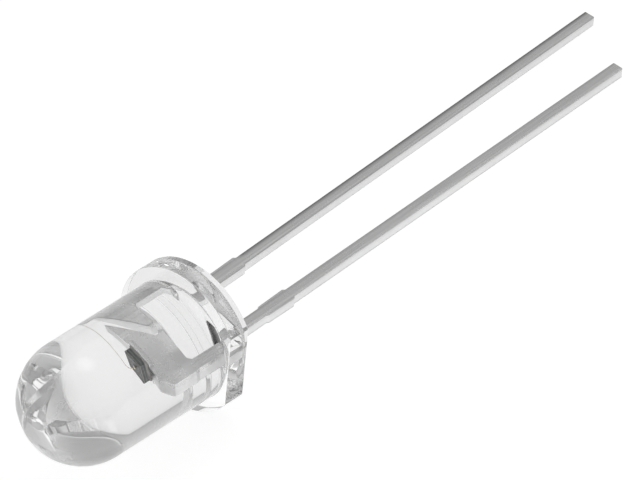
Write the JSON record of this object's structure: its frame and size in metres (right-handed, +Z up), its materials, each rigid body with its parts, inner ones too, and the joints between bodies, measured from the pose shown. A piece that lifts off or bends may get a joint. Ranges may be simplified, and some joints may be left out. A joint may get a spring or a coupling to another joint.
{
  "type": "through-hole led",
  "caption": "Clear domed light-emitting diode with a flanged round body, a flat that marks the cathode and long bent leads, lying on its flange and lead tips.",
  "frame": {"origin": "on the surface the diode lies on, under the middle of its bounding box", "axes": "+Z is up; +X runs along the surface from the dome towards the tips of the leads; +Y runs from the cathode's side with the flat towards the anode's side"},
  "size_m": [0.0332, 0.0058, 0.0065],
  "materials": {
    "clear_epoxy": "water-clear cast epoxy with a polished surface",
    "tinned_steel": "stamped steel, bright tin plate that has dulled slightly",
    "silver_adhesive": "silver-filled epoxy, satin",
    "semiconductor": "sawn semiconductor, dark grey-green and smooth",
    "gold_wire": "drawn gold wire"
  },
  "bodies": {
    "root": {"epoxy_body": "clear_epoxy", "cathode_lead": "tinned_steel", "anode_lead": "tinned_steel", "die_attach": "silver_adhesive", "chip": "semiconductor", "bond_wire": "gold_wire"}
  },
  "joints": []
}
